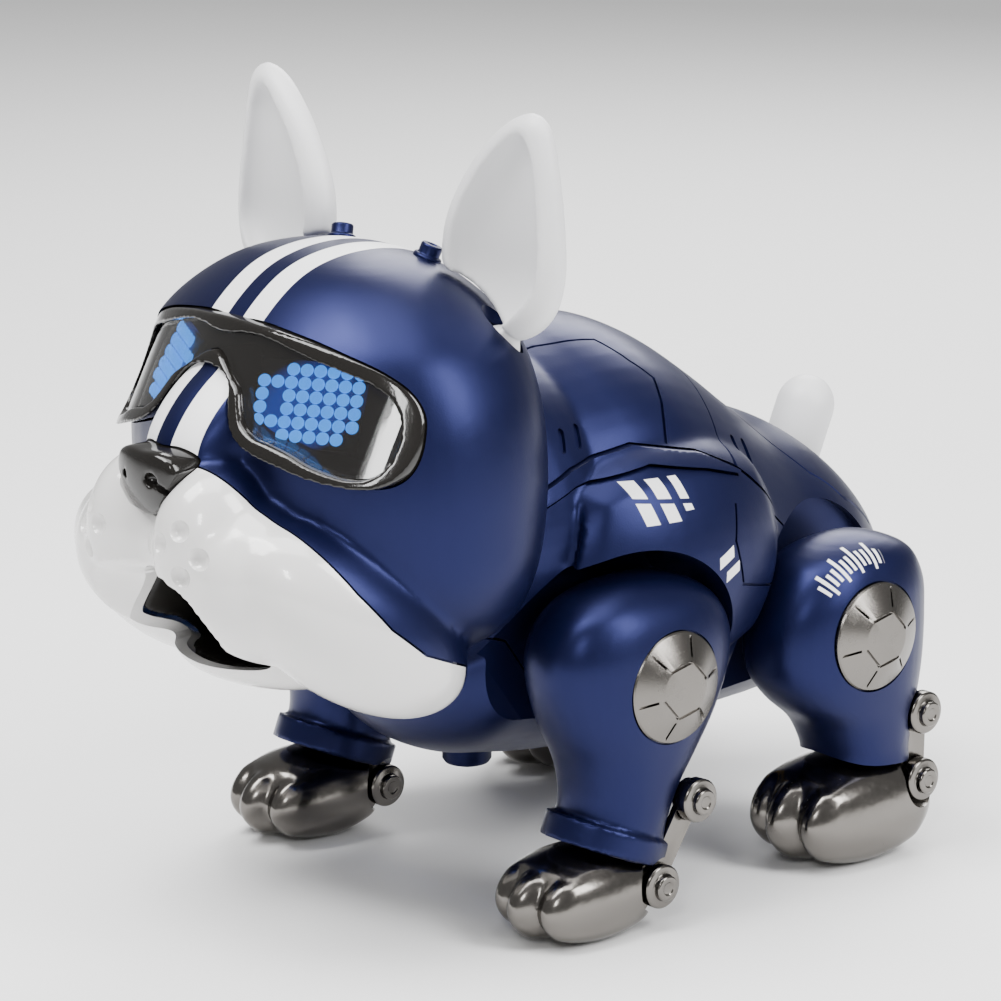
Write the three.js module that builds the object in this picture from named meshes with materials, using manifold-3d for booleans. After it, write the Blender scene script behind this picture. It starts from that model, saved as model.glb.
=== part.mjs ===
// Walking robot bulldog toy, modelled as it comes apart on a bench.
// Millimetres. +X is the dog's left, -Y is its front and +Z is up. The paws stand on z = 0.
import * as THREE from "three";
import { mergeVertices } from "three/addons/utils/BufferGeometryUtils.js";
import Module from "manifold-3d";

const wasm = await Module();
wasm.setup();

// ---- Driving dimensions ----
const WALL = 2.2; // thickness of the moulded casings
const SEAM = 0.5; // gap between two casings
const RUN = 0.9; // gap beside a piece that moves
const LEG_X = 50; // middle of a leg, off the centre plane
const LEG_OUT = 65.5; // outer face of a leg at its hip
const FRONT_HIP = { y: -12, z: 59 };
const REAR_HIP = { y: 54, z: 58.5 };
const HUB = 13.3; // radius of the metal disc on each hip
const NECK = { y: -28, z: 92, radius: 46, height: 42.6 }; // dome that the head turns on
const POCKET = { radius: 33, from: 32.5 }; // recess in the body for each leg
const VISOR = { y: -26.5, radius: 70, deep: 11, rim: 3.2, lean: -17, middle: 140 };
const EAR = { x: 39, y: -42.7, z: 141, facing: 5, turn: 10 };
const TAIL = { y: 87, z: 84, radius: 7.4, lean: -24 };
const BUTTON = { y: -20, radius: 6 };

const MIDDLE = 7.75; // from the drawing's zero in y to the middle of the length

const NAVY = { color: 0x1c2a62, roughness: 0.35, metalness: 0.1 };
const WHITE_GLOSS = { color: 0xf2f0f0, roughness: 0.2, metalness: 0 };
const WHITE_SOFT = { color: 0xf4f4f5, roughness: 0.6, metalness: 0 };
const GUNMETAL = { color: 0x7d776f, roughness: 0.25, metalness: 1 };
const BLACK_GLOSS = { color: 0x14130f, roughness: 0.12, metalness: 0 };
const SMOKED = { color: 0x201e1b, roughness: 0.05, metalness: 0 };
const LED_BLUE = { color: 0x4aa8ff, roughness: 0.4, metalness: 0 };
const GREY_PLASTIC = { color: 0x55585c, roughness: 0.6, metalness: 0 };
const STEEL = { color: 0xb9bcc0, roughness: 0.3, metalness: 1 };
const GREEN_BOARD = { color: 0x1f6b3a, roughness: 0.5, metalness: 0 };
const YELLOW_WRAP = { color: 0xd8a51e, roughness: 0.5, metalness: 0 };

const robotDog = new THREE.Group();

// ---- Solids: three.js geometry in, manifold booleans, three.js geometry out ----
function solid(geometry) {
  const bare = geometry.index ? geometry.toNonIndexed() : geometry.clone();
  bare.deleteAttribute("normal");
  bare.deleteAttribute("uv");
  const merged = mergeVertices(bare, 1e-3);
  return new wasm.Manifold(
    new wasm.Mesh({
      numProp: 3,
      vertProperties: merged.attributes.position.array,
      triVerts: new Uint32Array(merged.index.array),
    }),
  );
}

function geometryOf(body) {
  const mesh = body.getMesh();
  const geometry = new THREE.BufferGeometry();
  const positions = new THREE.BufferAttribute(new Float32Array(mesh.vertProperties), 3);
  geometry.setAttribute("position", positions);
  geometry.setIndex(new THREE.BufferAttribute(new Uint32Array(mesh.triVerts), 1));
  const flat = geometry.toNonIndexed();
  flat.computeVertexNormals();
  return flat;
}

// Cutting a shell can leave loose crumbs; a piece is the largest body that is left.
function largest(body) {
  return body.decompose().reduce((best, next) => (next.volume() > best.volume() ? next : best));
}

const joined = (...bodies) => bodies.reduce((whole, next) => whole.add(next));

function addPiece(name, body, finish, side = 1) {
  const geometry = geometryOf(largest(body));
  const mesh = new THREE.Mesh(geometry, new THREE.MeshStandardMaterial(finish));
  mesh.name = name;
  mesh.scale.x = side;
  robotDog.add(mesh);
  return mesh;
}

// Adds the left-hand piece and its mirror image.
function addPair(name, body, finish) {
  addPiece(`${name}_left`, body, finish);
  addPiece(`${name}_right`, body, finish, -1);
}

// ---- Basic shapes, each already in place ----
function placed(geometry, { x = 0, y = 0, z = 0, tilt = 0, roll = 0, turn = 0 } = {}) {
  const rad = THREE.MathUtils.degToRad;
  geometry.rotateX(rad(tilt));
  geometry.rotateY(rad(roll));
  geometry.rotateZ(rad(turn));
  geometry.translate(x, y, z);
  return solid(geometry);
}

function box(width, depth, height, place) {
  return placed(new THREE.BoxGeometry(width, depth, height), place);
}

// A cylinder that lies along X, Y or Z before it is turned into place.
function rod(radius, length, along, place, sides = 20, endRadius = radius) {
  const geometry = new THREE.CylinderGeometry(endRadius, radius, length, sides);
  if (along === "x") geometry.rotateZ(-Math.PI / 2);
  if (along === "z") geometry.rotateX(Math.PI / 2);
  return placed(geometry, place);
}

// A turned piece: profile points are [radius, distance along the axis].
function turned(profile, along, place, sides = 24) {
  const points = profile.map(([radius, height]) => new THREE.Vector2(radius, height));
  const geometry = new THREE.LatheGeometry(points, sides);
  if (along === "x") geometry.rotateZ(-Math.PI / 2);
  if (along === "z") geometry.rotateX(Math.PI / 2);
  return placed(geometry, place);
}

// A block drawn part of the way to a ball, as clay is rolled. roundness 1 is an ellipsoid.
function pebble(half, roundness, place, steps = 4) {
  const geometry = new THREE.BoxGeometry(2, 2, 2, steps, steps, steps);
  const corners = geometry.attributes.position;
  const meanRadius = 1.28;
  const face = THREE.MathUtils.lerp(1, meanRadius, roundness);
  const point = new THREE.Vector3();
  for (let i = 0; i < corners.count; i++) {
    point.fromBufferAttribute(corners, i);
    point.lerp(point.clone().setLength(meanRadius), roundness);
    point.divideScalar(face);
    corners.setXYZ(i, point.x * half[0], point.y * half[1], point.z * half[2]);
  }
  return placed(geometry, place);
}

// A skin through rounded sections. Each row is [position, centre 1, centre 2, half 1, half 2]:
// along "y" the two are X and Z, and along "z" they are X and Y. End rows have no size.
function loft(rows, along, { squareness = 2, around = 20, place } = {}) {
  const geometry = new THREE.SphereGeometry(1, around, rows.length - 1);
  const corners = geometry.attributes.position;
  const bend = (value) => Math.sign(value) * Math.abs(value) ** (2 / squareness);
  for (let i = 0; i < corners.count; i++) {
    const [x, y, z] = [corners.getX(i), corners.getY(i), corners.getZ(i)];
    const row = Math.round((Math.acos(-y) / Math.PI) * (rows.length - 1));
    const [position, c1, c2, h1, h2] = rows[row];
    const reach = Math.hypot(x, z);
    const pole = reach < 1e-6;
    const across = pole ? 0 : h1 * bend(x / reach);
    const up = pole ? 0 : h2 * bend(z / reach);
    if (along === "y") corners.setXYZ(i, c1 + across, position, c2 + up);
    else corners.setXYZ(i, c1 + across, c2 - up, position);
  }
  return placed(geometry, place);
}

// A slab across the whole width, from a closed side-view outline of [y, z] points.
function sideSlab(outline, fromX, toX) {
  const shape = new THREE.Shape(outline.map(([y, z]) => new THREE.Vector2(y, z)));
  const geometry = new THREE.ExtrudeGeometry(shape, { depth: toX - fromX, bevelEnabled: false });
  geometry.rotateY(Math.PI / 2).rotateX(Math.PI / 2).translate(fromX, 0, 0);
  return solid(geometry);
}

// A slab from front to back, from a closed front-view outline of [x, z] points.
function frontSlab(outline, fromY, toY) {
  const shape = new THREE.Shape(outline.map(([x, z]) => new THREE.Vector2(x, z)));
  const geometry = new THREE.ExtrudeGeometry(shape, { depth: toY - fromY, bevelEnabled: false });
  geometry.rotateX(Math.PI / 2).translate(0, toY, 0);
  return solid(geometry);
}

const mirrored = (outline) => [
  ...outline,
  ...outline.slice().reverse().filter(([x]) => x !== 0).map(([x, z]) => [-x, z]),
];

// ---- Head: helmet, muzzle and nose ----
// Sections of the helmet from the jaw up: height, middle in y, half width, half length.
const HELMET = [
  [64, -50, 0, 0],
  [67, -51, 30, 16],
  [76, -53.5, 46, 27],
  [88, -56.5, 53.5, 34],
  [101, -59, 55.5, 38],
  [116, -59.5, 55.5, 39],
  [130, -59.5, 53, 37.5],
  [142, -59, 46.5, 33.5],
  [152, -59, 34, 25.5],
  [158, -59, 20, 15],
  [160.5, -59, 0, 0],
];

function helmetClay(grow, around = 20) {
  const rows = HELMET.map(([z, y, across, along], i) => {
    const end = i === 0 ? -grow : i === HELMET.length - 1 ? grow : 0;
    return [z + end, 0, y, across + grow, along + grow];
  });
  return loft(rows, "z", { squareness: 2.25, around });
}

// The head in clay: helmet, two hanging cheeks, the snout's bridge and the chin.
function headClay(grow = 0, steps = 4) {
  const swell = (...half) => half.map((size) => size + grow);
  const side = (x) => [
    pebble(swell(14, 19.5, 21), 1, { x: x * 15.5, y: -98.5, z: 93 }, steps),
    pebble(swell(21, 36, 19), 1, { x: x * 28, y: -81, z: 80, tilt: -38, turn: x * 26 }, steps),
  ];
  const bridge = pebble(swell(15, 21, 13), 0.9, { y: -91, z: 123, tilt: 40 }, steps);
  const chin = pebble(swell(24, 15, 9), 0.8, { y: -79, z: 69, tilt: -12 }, 3);
  const lip = pebble(swell(15, 16.5, 19), 1, { y: -96, z: 94 }, 3);
  return joined(helmetClay(grow, steps * 5), ...side(1), ...side(-1), bridge, chin, lip);
}

const NECK_FRONT = -54; // the dome is cut off square here, inside the head
// The neck dome and the room it needs in the head, which is open below and behind.
const neckSpace = joined(
  pebble([NECK.radius + 1.6, NECK.radius + 1.6, NECK.height + 1.6], 1, NECK, 6),
  rod(NECK.radius + 1.6, 60, "z", { y: NECK.y, z: NECK.z - 30 }, 24),
).intersect(box(120, 100, 200, { y: 50 + NECK_FRONT - 8.5, z: 100 }));

// The blue helmet and the white muzzle part along a slanted line.
const muzzleSide = [[-140, 151.6], [-60, 67.8], [-60, 30], [-140, 30]];
const muzzleSlab = sideSlab(muzzleSide.map(([y, z]) => [y - 0.2, z - 0.2]), -80, 80);
const muzzleRoom = sideSlab(muzzleSide.map(([y, z]) => [y + 0.2, z + 0.2]), -80, 80);

// Half outline of the visor as seen from the front.
const visorHalf = [
  [0, 147.5], [22, 147], [35, 144.8], [44.5, 139.5], [49.5, 130], [48.5, 120], [43, 113.5],
  [33, 111.5], [22, 114.5], [15, 121], [9, 132], [0, 138.5],
];
const visorMiddle = new THREE.Vector2(28, 129.5);
function visorOutline(inset) {
  const half = visorHalf.map(([x, z]) => {
    const from = new THREE.Vector2(x, z).sub(visorMiddle);
    const at = visorMiddle.clone().add(from.clone().setLength(from.length() - inset));
    return x === 0 ? [0, z - Math.sign(z - 142) * inset] : [at.x, at.y];
  });
  return frontSlab(mirrored(half), -130, -72);
}
function visorRing(inner, outer) {
  const place = { y: VISOR.y, z: VISOR.middle, tilt: VISOR.lean };
  return turned([[inner, -50], [outer, -50], [outer, 30], [inner, 30], [inner, -50]], "z", place, 48);
}
const visorPlug = visorOutline(-SEAM);

const noseShape = (grow) =>
  joined(
    pebble([11 + grow, 7 + grow, 6.5 + grow], 0.9, { y: -106.5, z: 116 }, 3),
    pebble([7 + grow, 6 + grow, 6.5 + grow], 0.9, { y: -108.5, z: 111 }, 3),
  );

const headHollow = headClay(-WALL - 0.4, 2);
const headWall = headClay().subtract(headHollow).subtract(neckSpace).subtract(noseShape(0.3));
const neckPinBore = rod(4.3, 40, "z", { y: NECK.y, z: 120 }, 16);
const earBore = (x, grow = 0) => rod(4 + grow, 24, "z", { x: x * EAR.x, y: EAR.y, z: EAR.z }, 14);
const studAt = { x: 15, y: -45, z: 156, tilt: -18, roll: 14 };
const studSeat = (x) =>
  joined(rod(2.2, 20, "z", {}, 12), rod(3.8, 12, "z", { z: 5.4 }, 12))
    .rotate([studAt.tilt, x * studAt.roll, 0])
    .translate([x * studAt.x, studAt.y, studAt.z]);

const helmet = headWall
  .subtract(muzzleRoom)
  .subtract(visorPlug)
  .subtract(earBore(1, 0.7))
  .subtract(earBore(-1, 0.7))
  .subtract(studSeat(1))
  .subtract(studSeat(-1));
const neckBoss = rod(9, 14, "z", { y: NECK.y, z: 139 }, 20)
  .intersect(helmetClay(-1))
  .subtract(neckSpace);
addPiece("head_shell", joined(helmet, neckBoss).subtract(neckPinBore), NAVY);

const mouthHalf = [[0, 92], [6, 86], [11, 79], [16, 69], [15, 65], [0, 65]];
const mouthOpening = frontSlab(mirrored(mouthHalf), -130, -75);
const muzzle = headWall.intersect(muzzleSlab).subtract(visorPlug).subtract(mouthOpening);
addPiece("muzzle", muzzle, WHITE_GLOSS);

const linerHalf = [[0, 95], [8.5, 87], [13.5, 79.5], [18.5, 69], [17, 63], [0, 63]];
const liner = frontSlab(mirrored(linerHalf), -112, -72)
  .subtract(frontSlab(mirrored(mouthHalf), -130, -74))
  .intersect(headClay(-WALL - 0.8, 2));
addPiece("mouth_liner", liner, BLACK_GLOSS);
addPiece("nose", noseShape(0), BLACK_GLOSS);

const visorFrame = visorRing(VISOR.radius - VISOR.deep, VISOR.radius)
  .intersect(visorOutline(0))
  .subtract(visorOutline(VISOR.rim));
const visorLens = visorRing(VISOR.radius - 3, VISOR.radius - 1.4).intersect(
  visorOutline(VISOR.rim + 0.3),
);
addPiece("visor_frame", visorFrame, BLACK_GLOSS);
addPiece("visor_lens", visorLens, SMOKED);

// ---- Head: eyes, ears, studs and the pin it turns on ----
const eyeBoard = box(25, 1.6, 19, { x: 26, y: -86, z: 130, tilt: VISOR.lean, turn: 22 }).intersect(
  visorOutline(VISOR.rim + 0.4),
);
addPair("led_display", eyeBoard, LED_BLUE);

const EAR_ROWS = [
  [0, 0, 0, 0, 0], [2, 0, 0, 9, 4], [8, 0, 0, 15.5, 6.2], [17, 0, 0.3, 18, 6.5],
  [27, 0.4, 0.6, 17.2, 6], [37, 2.4, 0.8, 14, 5], [45, 5, 0.9, 9.8, 4.2], [50.5, 7.4, 1, 5.4, 3],
  [53, 8.4, 1, 0, 0],
];
const earLeaf = loft(EAR_ROWS, "z", { around: 14, squareness: 2.3 });
const earScoop = loft(
  [
    [5, 0, -4.6, 0, 0], [8, 0, -4.6, 6, 3], [16, 0.2, -4.8, 11.6, 5], [26, 0.8, -4.6, 11.6, 5],
    [35, 2.4, -4.2, 8.6, 4.4], [43, 5, -3.6, 4.6, 3.4], [47, 6.4, -3.4, 0, 0],
  ],
  "z",
  { around: 12 },
);
function ear() {
  const place = (body) => body.rotate([0, 0, EAR.facing]).translate([EAR.x, EAR.y, EAR.z]);
  // The leaf is cut to the helmet as it stands and as it stands at both ends of its turn.
  const helmetAt = (turn) =>
    helmetClay(RUN)
      .translate([-EAR.x, -EAR.y, 0])
      .rotate([0, 0, turn])
      .translate([EAR.x, EAR.y, 0]);
  const leaf = [-EAR.turn, 0, EAR.turn].reduce(
    (left, turn) => left.subtract(helmetAt(turn)),
    place(earLeaf.subtract(earScoop)),
  );
  return joined(largest(leaf), place(rod(4, 24, "z", { z: 3 }, 12))).subtract(place(earScoop));
}
addPair("ear", ear(), WHITE_SOFT);

const stud = joined(
  rod(3.4, 3, "z", { z: 1.2 }, 12),
  rod(2.6, 3.4, "z", { z: 3.6 }, 12),
  rod(1.9, 5, "z", { z: -1.5 }, 8),
);
const studPlace = stud.rotate([studAt.tilt, studAt.roll, 0]);
addPair("ear_stud", studPlace.translate([studAt.x, studAt.y, studAt.z]), NAVY);

addPiece("neck_pin", rod(4, 24, "z", { y: NECK.y, z: 127.5 }, 16), STEEL);

// ---- Body ----
// Sections of the body from the chest back: y, half width, top, bottom.
const BODY = [
  [-50, 0, 62, 56], [-47, 24, 76, 42], [-38, 37, 92, 35], [-24, 45, 128, 31.5],
  [-8, 50.5, 134, 29.5], [8, 52, 134.5, 29], [22, 50, 129.5, 29], [36, 47, 120.5, 29.5],
  [48, 44.5, 111.5, 30], [57, 43, 105.5, 30.5], [70, 41, 100, 32], [82, 36, 92.5, 35],
  [92, 28.5, 83.5, 39.5], [99, 18, 75, 46], [102.5, 0, 66, 54],
];

function bodyClay(grow = 0, around = 20, steps = 5) {
  const rows = BODY.map(([y, half, top, bottom], i) => {
    const end = i === 0 ? -grow : i === BODY.length - 1 ? grow : 0;
    return [y + end, 0, (top + bottom) / 2, half + grow, (top - bottom) / 2 + grow];
  });
  const dome = [NECK.radius + grow, NECK.radius + grow, NECK.height + grow];
  const frontOfBody = box(200, 200, 200, { y: 100 + NECK_FRONT - grow, z: 100 });
  const shoulder = (x) =>
    pebble([22 + grow, 38 + grow, 30 + grow], 0.9, { x: x * 37, y: 3, z: 82 }, steps);
  return joined(
    loft(rows, "y", { around }),
    pebble(dome, 1, NECK, steps).intersect(frontOfBody),
    shoulder(1),
    shoulder(-1),
  );
}

function pockets(grow) {
  const pocket = (x, hip) => {
    const from = POCKET.from - grow;
    return rod(POCKET.radius + grow, 60, "x", { x: x * (from + 30), y: hip.y, z: hip.z }, 28);
  };
  return joined(
    pocket(1, FRONT_HIP), pocket(-1, FRONT_HIP), pocket(1, REAR_HIP), pocket(-1, REAR_HIP),
  );
}

const axleBores = joined(
  rod(4.1, 120, "x", { y: FRONT_HIP.y, z: FRONT_HIP.z }, 12),
  rod(4.1, 120, "x", { y: REAR_HIP.y, z: REAR_HIP.z }, 12),
);
// In front of this the body stays inside the dome, clear of the head as it turns.
function neckLimit(grow) {
  const dome = [NECK.radius + grow, NECK.radius + grow, NECK.height + grow];
  return joined(
    pebble(dome, 1, NECK, 5),
    box(300, 200, 300, { y: 100 - 22 - grow, z: 70 }),
    box(300, 300, 144 + grow, { z: 0 }),
  );
}
const bodyInside = bodyClay(-WALL - 0.4, 10, 3).intersect(neckLimit(-WALL)).subtract(pockets(WALL));
const bodyWall = bodyClay()
  .intersect(neckLimit(0))
  .subtract(bodyInside)
  .subtract(pockets(0))
  .subtract(axleBores)
  .subtract(rod(4.9, 60, "z", { y: NECK.y, z: 130 }, 16));

// Side views of the parting lines between the covers.
const shoulderLine = [
  [-70, 95], [-44, 102], [-25, 108.5], [-6, 111.5], [10, 108.3], [20, 103], [29, 95.5], [42, 84],
  [44, 74], [33, 66], [30, 40], [-13, 36], [-36, 68], [-70, 80],
];
const frontBackLine = [
  [-70, 95.5], [-44, 102.5], [-25, 109], [-6, 112], [10.3, 108.8], [20, 104], [23.6, 108],
  [27, 115], [31, 122], [38, 140], [38, 160], [-70, 160],
];
const rearBackLine = [
  [20.8, 103.4], [24.2, 107.7], [27.6, 114.7], [31.6, 121.7], [38.6, 139.8], [38.6, 160],
  [130, 160], [130, 60], [60, 60], [44.6, 73.6], [42.6, 84.2], [29.4, 96],
];
const onLeft = box(100, 400, 400, { x: 50.25 });
const onRight = box(100, 400, 400, { x: -50.25 });
const shoulders = bodyWall.intersect(sideSlab(shoulderLine, -90, 90));
const outboard = box(100, 400, 400, { x: 50 + 26 });
const shoulderLeft = shoulders.intersect(outboard);
addPair("shoulder_cover", shoulderLeft, NAVY);

const tailSocket = rod(TAIL.radius + 2.6, 60, "z", { y: TAIL.y, z: TAIL.z, tilt: TAIL.lean }, 16);
addPiece("front_back_cover", bodyWall.intersect(sideSlab(frontBackLine, -90, 90)), NAVY);
const rearBack = bodyWall.intersect(sideSlab(rearBackLine, -90, 90)).subtract(tailSocket);
addPiece("rear_back_cover", rearBack, NAVY);

const bellyLine = [
  [-70, 79], [-36.3, 67.5], [-13.3, 35.4], [30.6, 39.4], [33.6, 65.5], [44.5, 73], [59.6, 59.4],
  [130, 59.4], [130, 0], [-70, 0],
];
const doorBox = (grow) => box(34 + grow, 54 + grow, 20, { y: 30, z: 26 });
const buttonBore = rod(BUTTON.radius + 0.6, 20, "z", { y: BUTTON.y, z: 28 }, 16);
const portBox = box(11, 8, 30, { y: 72, z: 30 });
const inboard = box(51.4, 400, 400, {});
const keel = bodyWall.intersect(sideSlab(shoulderLine, -90, 90)).intersect(inboard);
const belly = joined(bodyWall.intersect(sideSlab(bellyLine, -90, 90)), keel)
  .subtract(doorBox(0))
  .subtract(buttonBore)
  .subtract(portBox);
addPiece("belly_shell", belly, NAVY);
const door = bodyClay().intersect(doorBox(-1)).intersect(box(100, 100, 20, { y: 30, z: 21.8 }));
addPiece("battery_door", door, NAVY);

// ---- Tail and button ----
const tailStub = turned(
  [[0, -8], [3, -8], [3, -1], [7.4, -1], [7.4, 15], [6.7, 18.6], [4.4, 21.6], [0, 23]], "z", {}, 16,
);
addPiece("tail", tailStub.rotate([TAIL.lean, 0, 0]).translate([0, TAIL.y, TAIL.z]), WHITE_SOFT);

const button = turned(
  [[0, 0], [4, 0], [BUTTON.radius, 1.2], [BUTTON.radius, 10.4], [7.6, 10.4], [7.6, 12], [0, 12]],
  "z",
  { y: BUTTON.y, z: 27 },
  16,
);
addPiece("power_button", button, NAVY);

// ---- Legs ----
// Sections of each leg from the ankle up: height, middle in y, half width, half length.
const FRONT_LEG = [
  [16, -20, 0, 0], [16.5, -20, 11, 11.5], [24, -19, 12, 12.4], [32.5, -16.6, 12.4, 13.8],
  [41, -14.6, 13.5, 17.8], [50, -14, 14.9, 23], [60, -13.6, 15.5, 26.8], [69, -13.6, 15.3, 27],
  [77, -13.6, 12.8, 22], [82, -13.6, 7, 12], [83.5, -13.6, 0, 0],
];
const REAR_LEG = [
  [19, 62.5, 0, 0], [19.5, 62.5, 11.5, 11.5], [27, 62, 12.5, 12.5], [35, 60.3, 13.5, 15.4],
  [42, 57, 14.5, 20.6], [50, 54.6, 15.3, 24.2], [61, 54.4, 15.5, 24.6], [70, 55.8, 14.7, 22.2],
  [77.5, 57, 11, 15.5], [81.5, 57, 0, 0],
];

function legShell(hip, sections, cuff) {
  const rows = sections.map(([z, y, across, along]) => [z, LEG_X, y, across, along]);
  const at = { x: LEG_X, y: hip.y, z: hip.z };
  const leg = loft(rows, "z", { squareness: 2.5, around: 14 });
  const soft = cuff ? joined(leg, cuff) : leg;
  const hubSeat = rod(HUB + 0.3, 10, "x", { ...at, x: LEG_OUT + 5 - 2 }, 20);
  const gearRoom = rod(17, 12, "x", { ...at, x: 100 - LEG_OUT }, 16);
  const bore = rod(3.8, 60, "x", at, 12);
  return soft.subtract(hubSeat).subtract(gearRoom).subtract(bore);
}

function paw(half, at, pin) {
  const pad = pebble(half, 0.75, at, 4);
  const heel = rod(5.4, 15.6, "x", { x: LEG_X, ...pin }, 16);
  const ground = box(80, 80, 40, { x: LEG_X, y: at.y, z: -20 });
  const beside = (x) => rod(6.8, 12, "x", { x: LEG_X + 13.9 * x, ...pin }, 16);
  const pads = pad.subtract(beside(1)).subtract(beside(-1));
  return joined(pads, heel).subtract(ground).subtract(rod(3.4, 60, "x", { x: LEG_X, ...pin }, 16));
}

const boltProfile = [
  [0, 0], [5.3, 0], [5.3, 2.6], [4.8, 3], [3.2, 3], [3, 4.6], [0, 4.6],
];
const hubProfile = [
  [0, 0], [HUB, 0], [HUB, 2], [12.2, 3.1], [7.6, 4], [7, 3.5], [0, 3.5],
];

function addLeg(name, hip, { sections, cuff, pawHalf, pawAt, pin, knee }) {
  const heelRoom = rod(6.6, 60, "x", { x: LEG_X, ...pin }, 14);
  const pawRoom = pebble(pawHalf.map((size) => size + 1.6), 0.75, pawAt, 4);
  const shell = legShell(hip, sections, cuff)
    .subtract(heelRoom)
    .subtract(pawRoom)
    .subtract(linkBar(knee, pin, 0.4))
    .subtract(rod(6, 4, "x", { x: LEG_X + 12, ...knee }, 12))
    .subtract(rod(2.9, 20, "x", { x: LEG_X + 4, ...knee }, 12));
  addPair(`${name}_leg`, shell, NAVY);
  const hubX = LEG_OUT - 1.7;
  addPair(`${name}_hub_cap`, turned(hubProfile, "x", { x: hubX, y: hip.y, z: hip.z }, 18), GUNMETAL);
  const axle = rod(3.5, 48, "x", { x: LEG_OUT - 26.2, y: hip.y, z: hip.z }, 12);
  addPair(`${name}_hip_axle`, axle, STEEL);
  addPair(`${name}_paw`, paw(pawHalf, pawAt, pin), GUNMETAL);
  addPair(`${name}_link_bar`, linkBar(knee, pin, 0).subtract(barBores(knee, pin)), GUNMETAL);
  const kneeBolt = joined(
    turned(boltProfile, "x", { x: 60.4, ...knee }, 12),
    rod(2.6, 9, "x", { x: 56, ...knee }, 10),
  );
  addPair(`${name}_knee_bolt`, kneeBolt, GUNMETAL);
  const pinShape = joined(
    turned(boltProfile, "x", { x: LEG_X + 10.4, ...pin }, 12),
    turned(boltProfile, "x", { x: 10.4 - LEG_X, ...pin }, 12).mirror([1, 0, 0]),
    rod(2.9, 21.2, "x", { x: LEG_X, ...pin }, 12),
  );
  addPair(`${name}_ankle_pin`, pinShape, GUNMETAL);
}

// A flat bar with a round eye at each end; it stands behind the leg.
function linkBar(knee, pin, grow) {
  const x = 59.1;
  const thick = 1.8 + grow * 2;
  const reach = Math.hypot(knee.y - pin.y, knee.z - pin.z);
  const tilt = THREE.MathUtils.radToDeg(Math.atan2(knee.z - pin.z, knee.y - pin.y));
  return joined(
    box(thick, reach, 6 + grow * 2, {
      x, y: (knee.y + pin.y) / 2, z: (knee.z + pin.z) / 2, tilt,
    }),
    rod(4.6 + grow, thick, "x", { x, ...knee }, 12),
    rod(4.6 + grow, thick, "x", { x, ...pin }, 12),
  );
}
function barBores(knee, pin) {
  return joined(rod(2.9, 20, "x", { x: 57, ...knee }, 10), rod(3.2, 20, "x", { x: 57, ...pin }, 12));
}

const cuffRing = turned(
  [[0, -3], [1, -3], [1.04, 0], [1, 3], [0, 3]], "z", {}, 18,
).scale([13.4, 16.6, 1]).rotate([-22, 0, 0]).translate([LEG_X, -20.5, 20.8]);
addLeg("front", FRONT_HIP, {
  sections: FRONT_LEG,
  cuff: cuffRing,
  pawHalf: [14, 19.5, 11],
  pawAt: { x: LEG_X, y: -31, z: 10.3 },
  pin: { y: -14, z: 10.5 },
  knee: { y: -2.2, z: 29 },
});
addLeg("rear", REAR_HIP, {
  sections: REAR_LEG,
  pawHalf: [15.5, 23.4, 13.4],
  pawAt: { x: LEG_X, y: 56, z: 12.6 },
  pin: { y: 73.2, z: 18 },
  knee: { y: 73.6, z: 35 },
});

// ---- Inside the body ----
const gearbox = box(14, 88, 20, { x: 20.5, y: 21, z: 59 }).subtract(axleBores);
addPair("gearbox", gearbox, GREY_PLASTIC);
addPair("drive_motor", rod(10, 34, "y", { x: 14, y: 14, z: 82 }, 16), STEEL);
addPiece("battery_pack", box(25, 50, 17, { y: 30, z: 41.5 }), YELLOW_WRAP);
addPiece("main_board", box(46, 60, 1.6, { y: 12, z: 97 }), GREEN_BOARD);
addPiece("head_motor", box(22, 20, 14, { y: NECK.y + 2, z: 107 }), GREY_PLASTIC);
addPiece("speaker", rod(11, 6, "z", { y: -9, z: 46.5 }, 16), BLACK_GLOSS);
addPiece("charge_port", box(9, 6, 6, { y: 72, z: 38 }), STEEL);

// The origin is under the middle of the toy.
robotDog.position.y = MIDDLE;

export default robotDog;
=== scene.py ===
import math

import bpy
from mathutils import Matrix, Vector


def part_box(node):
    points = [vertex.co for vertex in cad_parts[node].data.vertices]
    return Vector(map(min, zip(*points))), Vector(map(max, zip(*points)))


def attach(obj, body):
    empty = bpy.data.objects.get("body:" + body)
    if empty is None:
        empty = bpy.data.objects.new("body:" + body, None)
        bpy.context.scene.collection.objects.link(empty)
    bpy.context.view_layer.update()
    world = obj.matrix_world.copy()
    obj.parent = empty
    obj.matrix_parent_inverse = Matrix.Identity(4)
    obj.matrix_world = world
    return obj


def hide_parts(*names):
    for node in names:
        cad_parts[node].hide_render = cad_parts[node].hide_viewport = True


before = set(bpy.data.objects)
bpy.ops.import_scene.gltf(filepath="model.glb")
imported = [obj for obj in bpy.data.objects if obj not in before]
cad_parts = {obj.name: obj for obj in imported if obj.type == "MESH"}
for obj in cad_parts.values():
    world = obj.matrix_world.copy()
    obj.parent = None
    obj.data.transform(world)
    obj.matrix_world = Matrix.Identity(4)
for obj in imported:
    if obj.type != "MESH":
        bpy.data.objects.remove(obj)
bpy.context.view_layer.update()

# Lengths below are in millimetres. Their y counts from the designer's own zero,
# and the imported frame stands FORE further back: the neck pin shows how far.
MM = 0.001
PIN_LOW, PIN_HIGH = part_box("neck_pin")
NECK_Y = -28
FORE = (PIN_LOW[1] + PIN_HIGH[1]) / 2 / MM - NECK_Y
FINE = 1.0

WALL = 2.4
LEG_X = 50
HUB_FACE = 63.8
HUB_RADIUS = 13.3
FRONT_HIP = (-12, 59)
REAR_HIP = (54, 58.5)
VISOR_RADIUS = 66
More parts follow.
